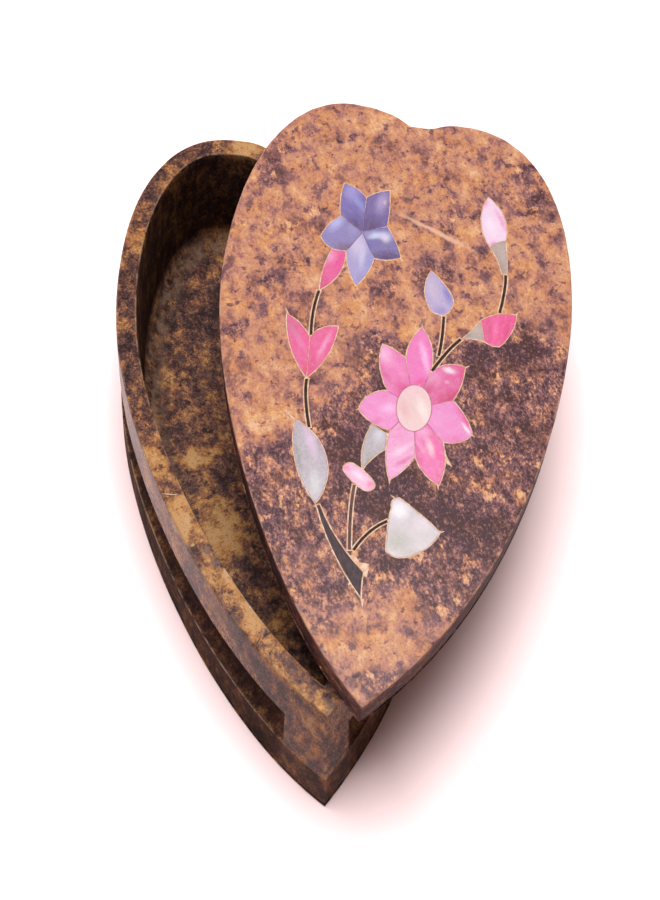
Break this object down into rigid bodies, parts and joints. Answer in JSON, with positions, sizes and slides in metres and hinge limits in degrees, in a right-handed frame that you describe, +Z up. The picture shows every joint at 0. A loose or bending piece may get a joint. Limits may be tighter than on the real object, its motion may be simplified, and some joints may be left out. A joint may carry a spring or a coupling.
{
  "type": "heart-shaped stone trinket box",
  "caption": "Low heart-shaped stone box, hollowed out, with a loose flat lid set ajar and a flush floral inlay of dyed shell.",
  "frame": {"origin": "on the flat underside, on the body's centre line, midway between the tip and the lobes of its rim", "axes": "+Z up, +Y along the heart from its tip to its lobes, +X to the right seen from the tip's end"},
  "size_m": [0.0976, 0.1458, 0.045],
  "materials": {
    "body_stone": "satin polished, olive brown with ochre and purple-grey patches",
    "lid_stone": "polished, terracotta and aubergine brown, speckled",
    "violet_shell": "polished dyed mother-of-pearl",
    "blue_shell": "polished dyed mother-of-pearl",
    "pale_blue_shell": "polished dyed mother-of-pearl",
    "pink_shell": "polished dyed mother-of-pearl",
    "hot_pink_shell": "polished dyed mother-of-pearl",
    "rose_shell": "polished dyed mother-of-pearl",
    "grey_shell": "polished mother-of-pearl, grey-green",
    "white_shell": "polished white mother-of-pearl",
    "cream_shell": "polished cream mother-of-pearl",
    "dark_stem": "dark inlay, satin"
  },
  "bodies": {
    "root": {"box_body": "body_stone", "lid": "lid_stone", "blue_petal_1": "violet_shell", "blue_petal_2": "violet_shell", "blue_petal_3": "blue_shell", "blue_petal_4": "pale_blue_shell", "blue_petal_5": "blue_shell", "blue_flower_cup": "pink_shell", "pink_leaf_left": "pink_shell", "pink_leaf_right": "pink_shell", "pink_petal_1": "pink_shell", "pink_petal_2": "pink_shell", "pink_petal_3": "pink_shell", "pink_petal_4": "pink_shell", "pink_petal_5": "pink_shell", "pink_petal_6": "pink_shell", "pink_petal_7": "pink_shell", "pink_flower_centre": "cream_shell", "grey_leaf_left": "grey_shell", "grey_leaf_middle": "grey_shell", "white_bud": "white_shell", "small_pink_bud": "rose_shell", "blue_bud": "blue_shell", "hot_pink_bud": "hot_pink_shell", "hot_pink_bud_cup": "grey_shell", "pale_pink_bud": "rose_shell", "pale_pink_bud_cup": "grey_shell", "stem_1": "dark_stem", "stem_2": "dark_stem", "stem_3": "dark_stem", "stem_4": "dark_stem", "stem_5": "dark_stem", "stem_6": "dark_stem", "stem_7": "dark_stem", "stem_8": "dark_stem"}
  },
  "joints": []
}
